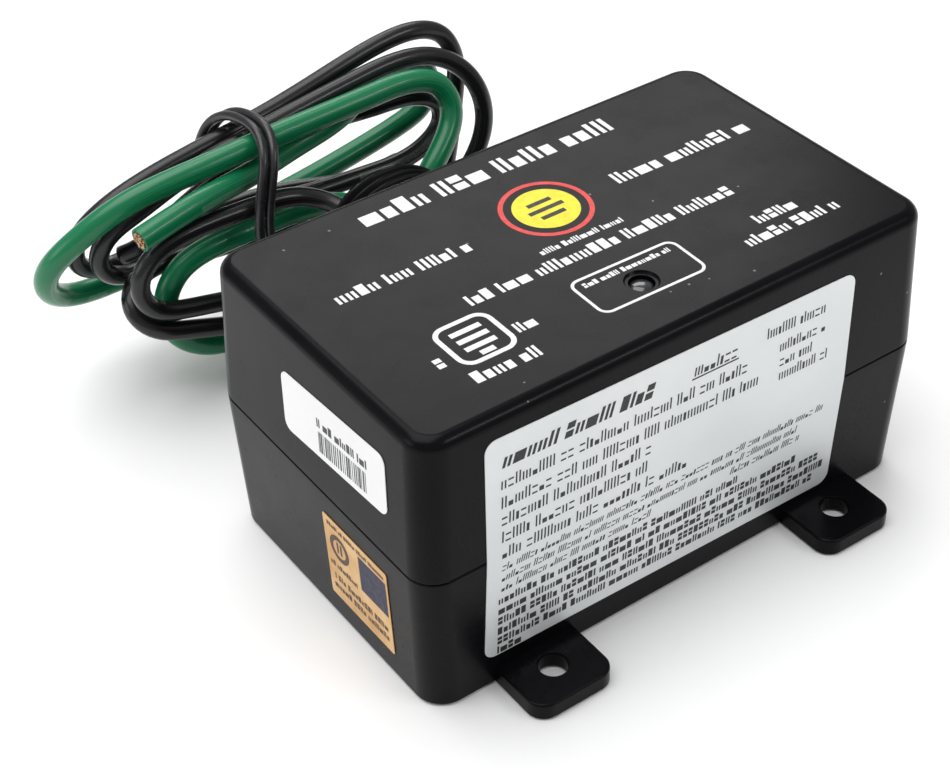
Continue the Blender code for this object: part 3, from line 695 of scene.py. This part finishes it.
def make_conductor(name, route, diameter, material):
    """Nineteen copper strands, cut a little unevenly, that show at a wire's cut end."""
    across, over, ahead = frames_along(route)[-1]
    strand = (diameter / 2 - JACKET_WALL) / STRAND_RADII_ACROSS * MM
    bm = bmesh.new()
    for ring, count in enumerate(STRAND_COUNTS):
        for i in range(count):
            turn = 2 * math.pi * (i + 0.3 * ring) / count
            offset = 2 * ring * strand * (math.cos(turn) * across + math.sin(turn) * over)
            length = 0.55 + 0.12 * math.sin(3.7 * i + ring)
            start = route[-1] - ahead * END_RECESS * 0.9 * MM + offset
            steps = [start, start + ahead * length * 0.8 * MM, start + ahead * length * MM]
            sweep(bm, np.array(steps), strand * STRAND_FIT, STRAND_SIDES)
    return finish_piece(name, bm, material, 40, weighted=False)


def make_wires():
    green = nylon_jacket("green_nylon", (0.008, 0.21, 0.085), (0.004, 0.13, 0.05))
    black = nylon_jacket("black_nylon", (0.014, 0.014, 0.016), (0.006, 0.006, 0.007))
    copper = cut_copper()
    wires = (
        ("ground", GROUND_ROUTE, GROUND_DIAMETER, green, "green_jacket"),
        ("line_1", LINE_1_ROUTE, LINE_DIAMETER, black, "black_jacket"),
        ("line_2", LINE_2_ROUTE, LINE_DIAMETER, black, "black_jacket"),
    )
    for wire, points, diameter, material, slot in wires:
        route = smooth_route(points, WIRE_STEP)
        jacket = make_jacket(f"{wire}_jacket", route, diameter, material)
        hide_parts(f"wire_{wire}")
        end = make_conductor(f"{wire}_strands", route, diameter, copper)
        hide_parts(f"copper_end_{wire}")
        pieces = [end, make_tie()] if wire == "ground" else [end]
        exit_point = [value * MM for value in points[0]]


def make_tie():
    """The tie, wound twice round the hank, each turn beside the last."""
    loop = smooth_route([(0, y, z) for y, z in TIE_LOOP + TIE_LOOP[:1]], TIE_STEP)
    count = len(loop) - 1
    route = []
    for i in range(TIE_TURNS * count - round(count / TIE_END_GAP)):
        spot = loop[i % count].copy()
        bow = TIE_BOW * math.sin(math.pi * (CASE_HEIGHT - spot[2] / MM) / TIE_BOW_SPAN)
        spot[0] = (TIE_X + TIE_PITCH * i / count - bow) * MM
        route.append(spot)
    bm = bmesh.new()
    sweep(bm, np.array(route), TIE_RADIUS * MM, TIE_SIDES)
    vinyl = coated("tie_vinyl", (0.02, 0.019, 0.022), 0.3, 0.02)
    tie = finish_piece("hank_tie", bm, vinyl, 50, weighted=False)
    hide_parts("wire_tie")
    return tie


# ---- the case


def box_mm(node):
    low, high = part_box(node)
    return low / MM, high / MM


def half_at(z):
    """The case's half length and half width, in millimetres, at a height."""
    if z > SEAM:
        share = (z - SEAM) / (CASE_HEIGHT - SEAM)
        return [half - draft * share for half, draft in zip(SEAM_HALF, TOP_DRAFT)]
    share = (SEAM - z) / SEAM
    return [half - draft * share for half, draft in zip(SEAM_HALF, BOTTOM_DRAFT)]


def case_ring(z, inset=0.0):
    """The case's outline at a height, drawn in by an inset."""
    half_x, half_y = half_at(z)
    size = (2 * (half_x - inset), 2 * (half_y - inset))
    outline = rounded_outline((0, 0), size, CORNER_RADIUS - inset, CORNER_STEPS)
    return [Vector((x * MM, y * MM, z * MM)) for x, y in outline]


def quarter_arc(radius, steps):
    """(inset, drop) pairs of a round edge, from its side to its flat face."""
    turns = [math.pi / 2 * i / steps for i in range(steps + 1)]
    return [(radius * (1 - math.cos(turn)), radius * (1 - math.sin(turn))) for turn in turns]


def lamp_recess():
    """The cutter for the lamp's recess, with a round inner corner and a softened rim."""
    floor = CASE_HEIGHT - RECESS_DEPTH
    above = CASE_HEIGHT + CUT_MARGIN
    rim = [(RECESS_RADIUS + out, CASE_HEIGHT + up) for out, up in RECESS_RIM]
    corner = [(RECESS_RADIUS - RECESS_CORNER, floor), (RECESS_RADIUS, floor + RECESS_CORNER)]
    return lathed([(0, floor), *corner, *rim, (rim[-1][0], above), (0, above)], LAMP_PLACE, "Z")


def nipple_opening():
    return round_cutter(BARREL_RADIUS + NIPPLE_CUT_GAP, *NIPPLE_CUT, NIPPLE_PLACE, "Y")


def make_cover(material):
    """The cover: a hollow cup with a rebate inside its lip, a round top edge and the lamp's recess."""
    low = SEAM + SEAM_GAP / 2
    ledge = low + TONGUE_RISE + TONGUE_GAP
    rebate = TONGUE_INSET - TONGUE_GAP
    inner_top = CASE_HEIGHT - WALL
    walls = np.linspace(low + FIRST_RING, CASE_HEIGHT - TOP_FILLET, WALL_RINGS)
    rings = [case_ring(inner_top, WALL), case_ring(ledge + LEDGE_SLOPE, WALL)]
    rings += [case_ring(ledge, rebate), case_ring(low, rebate)]
    rings += [case_ring(low + drop, inset) for inset, drop in quarter_arc(LIP_BEVEL, 3)[::-1]]
    rings += [case_ring(height) for height in walls]
    rings += [case_ring(CASE_HEIGHT - drop, inset) for inset, drop in quarter_arc(TOP_FILLET, 9)[1:]]
    lamp_hole = round_cutter(
        LAMP_RADIUS + LAMP_CLEARANCE, inner_top - CUT_MARGIN, CASE_HEIGHT, LAMP_PLACE, "Z")
    cover = combine(shell(rings), [lamp_recess(), lamp_hole, nipple_opening()])
    piece = finish_piece("cover_shell", cover, material)
    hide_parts("case_cover")


def tab_outline(side, inset, z):
    """A tab's outline at a height: two round front corners, and a back inside the wall."""
    half = TAB_WIDTH / 2 - inset
    radius = TAB_CORNER - inset
    back = TAB_ROOT - half_at(z)[1]
    middle = TAB_REACH + inset + radius
    points = [(half, back)]
    for start, sx in ((0, 1), (1, -1)):
        for i in range(TAB_CORNER_STEPS + 1):
            turn = -math.pi / 2 * (start + i / TAB_CORNER_STEPS)
            across = sx * (half - radius) + radius * math.cos(turn)
            points.append((across, middle + radius * math.sin(turn)))
    points.append((-half, back))
    return [Vector((side * TAB_X + x, y, z)) * MM for x, y in points]


def make_tab(side):
    """A mounting tab with a round upper edge and a screw hole that is eased at both ends."""
    rings = [tab_outline(side, TAB_FOOT_CHAMFER, 0), tab_outline(side, 0, TAB_FOOT_CHAMFER)]
    rings += [tab_outline(side, inset, TAB_THICKNESS - drop) for inset, drop in quarter_arc(TAB_BEVEL, 5)]
    above = TAB_THICKNESS + CUT_MARGIN
    foot = TAB_HOLE_RADIUS + HOLE_FOOT_CHAMFER[0]
    rim = [(TAB_HOLE_RADIUS + out, TAB_THICKNESS - drop) for out, drop in HOLE_RIM]
    profile = [
        (0, -CUT_MARGIN), (foot, -CUT_MARGIN), (foot, 0), (TAB_HOLE_RADIUS, HOLE_FOOT_CHAMFER[1]),
        *rim, (rim[-1][0], above), (0, above),
    ]
    return combine(shell(rings), [lathed(profile, (side * TAB_X, TAB_HOLE_Y), "Z", 48)])


def make_base(material):
    """The base: a hollow cup with a tongue that rises into the cover, and its two tabs."""
    high = SEAM - SEAM_GAP / 2
    rings = [case_ring(WALL, WALL), case_ring(high + TONGUE_RISE, WALL)]
    rings += [case_ring(high + TONGUE_RISE, TONGUE_INSET), case_ring(high, TONGUE_INSET)]
    rings += [case_ring(high - drop, inset) for inset, drop in quarter_arc(LIP_BEVEL, 3)[::-1]]
    rings += [case_ring(height) for height in np.linspace(high - FIRST_RING, FOOT_BEVEL, WALL_RINGS)]
    rings += [case_ring(drop, inset) for inset, drop in quarter_arc(FOOT_BEVEL, 4)[1:]]
    base = combine(shell(rings), [nipple_opening()])
    base = combine(base, [make_tab(-1), make_tab(1)], "UNION")
    piece = finish_piece("base_shell", base, material)
    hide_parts("case_base")


def thread_radius(y, turn_share):
    """The thread's radius at a place along it and round it: it fades in from the neck."""
    phase = (y - THREAD_START) / THREAD_PITCH - turn_share
    ridge = (0.5 + 0.5 * math.cos(2 * math.pi * phase)) ** THREAD_SHARPNESS
    fade = min(1, (y - THREAD_START) / THREAD_RUN_IN)
    return BARREL_RADIUS + THREAD_DEPTH * ridge * fade


def make_nipple(material):
    """The conduit nipple: an inner flange, a plain neck, a rounded helical thread and an open bore."""
    start, end = NIPPLE_LOW.y, NIPPLE_HIGH.y
    neck = start + FLANGE_THICKNESS
    flange = (NIPPLE_HIGH.x - NIPPLE_LOW.x) / 2
    plain = [
        (BORE_RADIUS, start), (flange - FLANGE_CHAMFER, start), (flange, start + FLANGE_CHAMFER),
        (flange, neck - FLANGE_CHAMFER), (flange - FLANGE_CHAMFER, neck), (BARREL_RADIUS, neck),
        (BARREL_RADIUS, NECK_END),
    ]
    rows = [(y, [radius] * NIPPLE_SIDES) for radius, y in plain]
    steps = round((end - THREAD_START) / THREAD_PITCH * RINGS_PER_TURN)
    for y in [THREAD_START + (end - THREAD_START) * k / steps for k in range(steps + 1)]:
        highest = BARREL_RADIUS + THREAD_DEPTH - NIPPLE_CHAMFER + (end - y)
        radii = [min(thread_radius(y, i / NIPPLE_SIDES), highest) for i in range(NIPPLE_SIDES)]
        rows.append((y, radii))
    rows.append((end, [BORE_RADIUS + MOUTH_CHAMFER] * NIPPLE_SIDES))
    rows.append((end - MOUTH_CHAMFER, [BORE_RADIUS] * NIPPLE_SIDES))
    turns = [2 * math.pi * i / NIPPLE_SIDES for i in range(NIPPLE_SIDES)]
    rings = []
    for y, radii in rows:
        rings.append([
            Vector((NIPPLE_PLACE[0] + r * math.cos(t), y, NIPPLE_PLACE[1] + r * math.sin(t))) * MM
            for r, t in zip(radii, turns)
        ])
    bm = bmesh.new()
    ring_faces(bm, [*rings, rings[0]])
    bmesh.ops.remove_doubles(bm, verts=bm.verts, dist=WELD_DISTANCE)
    piece = finish_piece("threaded_nipple", bm, material, 40, weighted=False)
    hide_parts("conduit_nipple")


def resin_rise(x, z, from_bore):
    """How far the resin's face stands above its lowest level, at a place on it."""
    height, reach = BORE_CREEP
    rise = height * math.exp(-from_bore / reach)
    height, reach = WIRE_CREEP
    for route, diameter in (
        (GROUND_ROUTE, GROUND_DIAMETER), (LINE_1_ROUTE, LINE_DIAMETER), (LINE_2_ROUTE, LINE_DIAMETER),
    ):
        away = math.hypot(x - route[0][0], z - route[0][2]) - diameter / 2
        rise += height * math.exp(-max(away, 0) / reach)
    return min(rise, HIGHEST_CREEP)


def make_seal():
    """The resin that fills the nipple's mouth, drawn up a little against the bore and round each wire."""
    edge = BORE_RADIUS - SEAL_EDGE_GAP
    rings = []
    for share in np.linspace(1, 0.02, SEAL_RINGS):
        ring = []
        for x, z in circle(NIPPLE_PLACE, edge * share, SEAL_SIDES):
            y = SEAL_FACE - SEAL_HOLLOW + resin_rise(x, z, edge * (1 - share))
            ring.append(Vector((x, y, z)) * MM)
        rings.append(ring)
    back = [Vector((point.x, (SEAL_FACE - SEAL_DEPTH) * MM, point.z)) for point in rings[0]]
    resin = coated("seal_resin", (0.02, 0.02, 0.022), 0.35, 0.05)
    piece = finish_piece("mouth_seal", shell([back, *rings]), resin, 40, weighted=False)
    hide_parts("nipple_seal")


def make_lamp():
    """The lamp's lens: a short post with a low dome."""
    top = LAMP_HIGH.z
    turns = np.linspace(0, math.pi / 2, 8)[:-1]
    dome = [(LAMP_RADIUS * math.cos(turn), top - LAMP_DOME * (1 - math.sin(turn))) for turn in turns]
    bm = lathed([(0, LAMP_LOW.z), (LAMP_RADIUS, LAMP_LOW.z), *dome, (0, top)], LAMP_PLACE, "Z", 40)
    piece = finish_piece("lamp_lens", bm, lamp_resin(), 40, weighted=False)
    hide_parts("status_lamp")


# ---- labels and printing


def on_front(u, v, lift):
    return Vector((u, -half_at(v)[1] - lift, v)) * MM


def on_left(u, v, lift):
    """u runs towards the back, which turns shapes inside out until flat_piece turns them back."""
    return Vector((-half_at(v)[0] - lift, u, v)) * MM


def on_top(u, v, lift):
    return Vector((u, v, CASE_HEIGHT + lift)) * MM


def turned(point, centre, degrees):
    angle = math.radians(-degrees)
    x = point[0] - centre[0]
    y = point[1] - centre[1]
    return (
        centre[0] + x * math.cos(angle) - y * math.sin(angle),
        centre[1] + x * math.sin(angle) + y * math.cos(angle),
    )


def turn_all(shapes, centre, degrees):
    """Shapes turned about a centre so that what lies to its right goes down."""
    return [[turned(point, centre, degrees) for point in shape] for shape in shapes]


def flat_piece(name, shapes, place, lift, thickness, material, replaces=None, kink=None):
    """Thin flat shapes, each a list of (u, v) points, laid on a wall and cut where it kinks."""
    bm = bmesh.new()
    for shape in shapes:
        bm.faces.new([bm.verts.new((u, v, 0)) for u, v in shape])
    bmesh.ops.remove_doubles(bm, verts=bm.verts, dist=OUTLINE_WELD)
    if kink is not None:
        parts = [*bm.verts, *bm.edges, *bm.faces]
        bmesh.ops.bisect_plane(bm, geom=parts, plane_co=(0, kink, 0), plane_no=(0, 1, 0), dist=1e-5)
    made = bmesh.ops.extrude_face_region(bm, geom=list(bm.faces), use_keep_orig=True)
    for vert in [part for part in made["geom"] if isinstance(part, bmesh.types.BMVert)]:
        vert.co.z = 1
    bmesh.ops.recalc_face_normals(bm, faces=bm.faces)
    if place is on_left:
        bmesh.ops.reverse_faces(bm, faces=bm.faces)
    for vert in bm.verts:
        vert.co = place(vert.co.x, vert.co.y, lift + vert.co.z * thickness)
    piece = finish_piece(name, bm, material, 30, weighted=False, turn_faces=False)
    if replaces:
        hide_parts(replaces)


def sheet_piece(name, centre, size, corner, tilt, place, material, replaces, kink=None):
    """A label's sheet."""
    shapes = turn_all([rounded_outline(centre, size, corner)], centre, tilt)
    flat_piece(name, shapes, place, SHEET_LIFT, SHEET_THICKNESS, material, replaces, kink)


def print_piece(name, shapes, place, material, base=0.0, kink=None):
    """Printing, just above a wall or, with a base, above what lies on it."""
    flat_piece(name, shapes, place, base + INK_LIFT, INK_THICKNESS, material, kink=kink)


def band(outer, inner):
    """The strip between two outlines with the same number of points."""
    count = len(outer)
    return [[outer[i], outer[(i + 1) % count], inner[(i + 1) % count], inner[i]] for i in range(count)]


def bar(x0, y0, x1, y1, slant=0.0):
    return [(x0 + slant * y0, y0), (x1 + slant * y0, y0), (x1 + slant * y1, y1), (x0 + slant * y1, y1)]


def stripes(place, rows, half_width):
    """Level bars about a place, each given as (height, half length)."""
    x, y = place
    return [bar(x - half, y + up - half_width, x + half, y + up + half_width) for up, half in rows]


# Each mark is one to three separate blocks in a unit square: (left, bottom, right, top). The gaps are
# shares of a mark's height, and a group is a number of marks drawn between two limits.
MARK_GAP = 0.17
GROUP_GAP = 0.38
SHORTEST_END = 0.3
FIRST_GROUP = (3, 9)
LATER_GROUP = (2, 9)
BOLD_MARKS = (
    [(0, 0, 0.56, 1)],
    [(0, 0, 0.56, 0.44), (0, 0.58, 0.56, 1)],
    [(0, 0, 0.5, 0.7)],
    [(0, 0, 0.22, 1)],
    [(0, 0, 0.8, 0.7)],
    [(0, 0, 0.2, 1), (0.34, 0, 0.54, 1)],
    [(0, 0, 0.2, 0.7), (0.34, 0, 0.54, 0.7)],
)
FINE_MARKS = (
    [(0, 0, 0.13, 1)],
    [(0, 0, 0.13, 1), (0.3, 0, 0.43, 1)],
    [(0, 0, 0.13, 0.72), (0.3, 0, 0.43, 0.72)],
    [(0, 0, 0.46, 0.14), (0, 0.56, 0.46, 0.7)],
    [(0, 0, 0.24, 0.7)],
    [(0, 0, 0.4, 0.4)],
    [(0, 0, 0.13, 0.72), (0.28, 0, 0.41, 0.72), (0.56, 0, 0.69, 0.72)],
)


def row_of_marks(rng, start, end, base, height, slant=0.0, marks=BOLD_MARKS):
    """Blocks and bars in groups, where a line of words would be. None of them is a letter."""
    shapes = []
    x = start
    left_in_group = rng.randint(*FIRST_GROUP)
    while x < end - SHORTEST_END * height:
        blocks = rng.choice(marks)
        width = max(block[2] for block in blocks)
        for x0, y0, x1, y1 in blocks:
            shape = bar(x0 * height, y0 * height, x1 * height, y1 * height, slant)
            shapes.append([(x + u, base + v) for u, v in shape])
        x += (width + MARK_GAP) * height
        left_in_group -= 1
        if left_in_group == 0:
            x += GROUP_GAP * height
            left_in_group = rng.randint(*LATER_GROUP)
    return shapes


def make_front_label(rng):
    film = label_film("silver_film", (0.78, 0.8, 0.8), (0.69, 0.72, 0.73), 0.38, 0.35)
    sheet_piece("front_sheet", FRONT_LABEL_CENTRE, FRONT_LABEL_SIZE, FRONT_LABEL_CORNER, FRONT_LABEL_TILT,
                on_front, film, "front_label", SEAM)
    marks = []
    for row, (start, end, middle, height, slant) in enumerate(FRONT_ROWS):
        weight = BOLD_MARKS if row in BOLD_ROWS else FINE_MARKS
        marks += row_of_marks(rng, start, end, middle - height / 2, height, slant, weight)
    marks.append(bar(*FRONT_RULE))
    marks = turn_all(marks, FRONT_LABEL_CENTRE, FRONT_LABEL_TILT)
    black = ink("black_ink", (0.018, 0.018, 0.02))
    print_piece("front_print", marks, on_front, black, ON_SHEET, SEAM)


def make_barcode_label(rng):
    paper = label_film("white_label_paper", (0.9, 0.9, 0.9), (0.84, 0.84, 0.85), 0.45)
    sheet_piece("barcode_sheet", BARCODE_CENTRE, BARCODE_SIZE, BARCODE_CORNER, BARCODE_TILT,
                on_left, paper, "barcode_label")
    x, y = BARCODE_CENTRE
    start, end, base, height = BARCODE_ROW
    marks = row_of_marks(rng, x + start, x + end, y + base, height)
    low, high = BARS_HEIGHTS
    along = BARS_START
    while along < BARS_END:
        width = rng.choice(BAR_WIDTHS)
        marks.append(bar(x + along, y + low, x + along + width, y + high))
        along += width + rng.choice(BAR_GAPS)
    marks = turn_all(marks, BARCODE_CENTRE, BARCODE_TILT)
    grey = ink("grey_ink", (0.05, 0.05, 0.055))
    print_piece("barcode_print", marks, on_left, grey, ON_SHEET)


def make_foil_label(rng):
    sheet_piece("foil_sheet", FOIL_CENTRE, FOIL_SIZE, FOIL_CORNER, 0, on_left, gold_foil(),
                "foil_label")
    x, y = FOIL_CENTRE
    ring_place = (x + FOIL_RING_PLACE[0], y + FOIL_RING_PLACE[1])
    marks = band(*(circle(ring_place, radius, 32) for radius in FOIL_RING_RADII))
    marks += [bar(x + x0, y + y0, x + x1, y + y1) for x0, y0, x1, y1 in FOIL_RING_BARS]
    for start, end, base, height in FOIL_ROWS:
        marks += row_of_marks(rng, x + start, x + end, y + base, height)
    brown = ink("brown_ink", (0.09, 0.04, 0.02))
    print_piece("foil_print", marks, on_left, brown, ON_SHEET)
    x0, y0, x1, y1 = FOIL_BLOCK
    navy = ink("navy_ink", (0.012, 0.012, 0.05))
    print_piece("foil_block", [bar(x + x0, y + y0, x + x1, y + y1)], on_left, navy, ON_SHEET)


def make_top_print(rng):
    """The cover's printing: rows of marks, a square sign, a frame round the lamp, and a badge."""
    white = []
    for start, end, base, height in TOP_ROWS:
        row = row_of_marks(rng, start, end, base, height)
        white += turn_all(row, ((start + end) / 2, base), TOP_PRINT_TILT)
    white += band(*(rounded_outline(SIGN_PLACE, (size, size), corner) for size, corner in SIGN_OUTLINES))
    white += stripes(SIGN_PLACE, SIGN_BARS, SIGN_BAR_HALF)
    window = band(*(rounded_outline(WINDOW_PLACE, size, corner) for size, corner in WINDOW_OUTLINES))
    window += row_of_marks(rng, *WINDOW_ROW)
    white += turn_all(window, WINDOW_PLACE, TOP_PRINT_TILT)
    print_piece("top_print_white", white, on_top, ink("white_ink", (0.82, 0.82, 0.82)))
    disc = [circle(BADGE_PLACE, BADGE_DISC)]
    print_piece("badge_disc", disc, on_top, ink("yellow_ink", (0.9, 0.74, 0.02)))
    ring = band(*(circle(BADGE_PLACE, radius) for radius in BADGE_RING))
    print_piece("badge_ring", ring, on_top, ink("red_ink", (0.72, 0.05, 0.04)))
    lines = stripes(BADGE_PLACE, BADGE_STRIPES, BADGE_STRIPE_HALF)
    black = ink("badge_black_ink", (0.015, 0.015, 0.015))
    print_piece("badge_stripes", lines, on_top, black, INK_THICKNESS + INK_OVER_INK)


# ---- the parts inside


def dress_inner_parts():
    """Gives each part inside the case the finish of its own kind."""
    looks = {
        "circuit_board": coated("board_mask", (0.02, 0.16, 0.06), 0.4, 0.02),
        "board_screw": bright_metal("screw_steel", (0.55, 0.55, 0.56), 0.32),
        "varistor": coated("varistor_epoxy", (0.03, 0.12, 0.42), 0.38, 0.08),
        "thermal_fuse": coated("fuse_case", (0.62, 0.6, 0.55), 0.45, 0.03),
        "lamp_resistor": coated("resistor_lacquer", (0.55, 0.4, 0.24), 0.35, 0.04),
        "status_lamp_leg": bright_metal("tinned_wire", (0.72, 0.72, 0.74), 0.28),
        "terminal": bright_metal("terminal_brass", (0.72, 0.52, 0.22), 0.3),
        "inner_lead_ground": coated("lead_green", (0.01, 0.2, 0.09), 0.3, 0.03),
        "inner_lead_line": coated("lead_black", (0.014, 0.014, 0.016), 0.3, 0.03),
    }
    for name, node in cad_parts.items():
        kind = next((start for start in looks if name.startswith(start)), None)
        if kind:
            for material_slot in node.material_slots:
                material_slot.material = looks[kind]


# ---- put together


def make_floor():
    bm = bmesh.new()
    bmesh.ops.create_grid(bm, x_segments=8, y_segments=8, size=FLOOR_HALF)
    mesh = bpy.data.meshes.new("floor")
    bm.to_mesh(mesh)
    bm.free()
    mesh.materials.append(white_floor())
    floor = bpy.data.objects.new("floor", mesh)
    floor.location.z = -FLOOR_DROP * MM
    bpy.context.scene.collection.objects.link(floor)


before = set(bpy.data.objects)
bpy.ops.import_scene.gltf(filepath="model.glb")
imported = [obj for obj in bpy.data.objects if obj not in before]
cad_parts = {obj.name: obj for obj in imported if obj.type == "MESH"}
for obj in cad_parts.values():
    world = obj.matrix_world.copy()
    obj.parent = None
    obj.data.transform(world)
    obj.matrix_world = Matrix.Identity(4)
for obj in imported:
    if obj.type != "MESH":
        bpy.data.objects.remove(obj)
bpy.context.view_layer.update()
COVER_LOW, COVER_HIGH = box_mm("case_cover")
CASE_HEIGHT = COVER_HIGH.z
SEAM = COVER_LOW.z - CAD_SEAM_GAP / 2
SEAM_HALF = (COVER_HIGH.x, COVER_HIGH.y)
TAB_REACH = box_mm("case_base")[0].y
LAMP_LOW, LAMP_HIGH = box_mm("status_lamp")
LAMP_RADIUS = (LAMP_HIGH.x - LAMP_LOW.x) / 2
LAMP_PLACE = ((LAMP_LOW.x + LAMP_HIGH.x) / 2, (LAMP_LOW.y + LAMP_HIGH.y) / 2)
NIPPLE_LOW, NIPPLE_HIGH = box_mm("conduit_nipple")
NIPPLE_PLACE = ((NIPPLE_LOW.x + NIPPLE_HIGH.x) / 2, (NIPPLE_LOW.z + NIPPLE_HIGH.z) / 2)

make_camera()
make_lights()
make_floor()
make_wires()
case_plastic = moulded_plastic("case_black", (0.0024, 0.0022, 0.003), 0.26)
make_cover(case_plastic)
make_base(case_plastic)
make_nipple(moulded_plastic("nipple_black", (0.006, 0.006, 0.0065), 0.26, 0.1))
make_seal()
make_lamp()
randomness = random.Random(PRINT_SEED)
make_front_label(randomness)
make_barcode_label(randomness)
make_foil_label(randomness)
make_top_print(randomness)
dress_inner_parts()
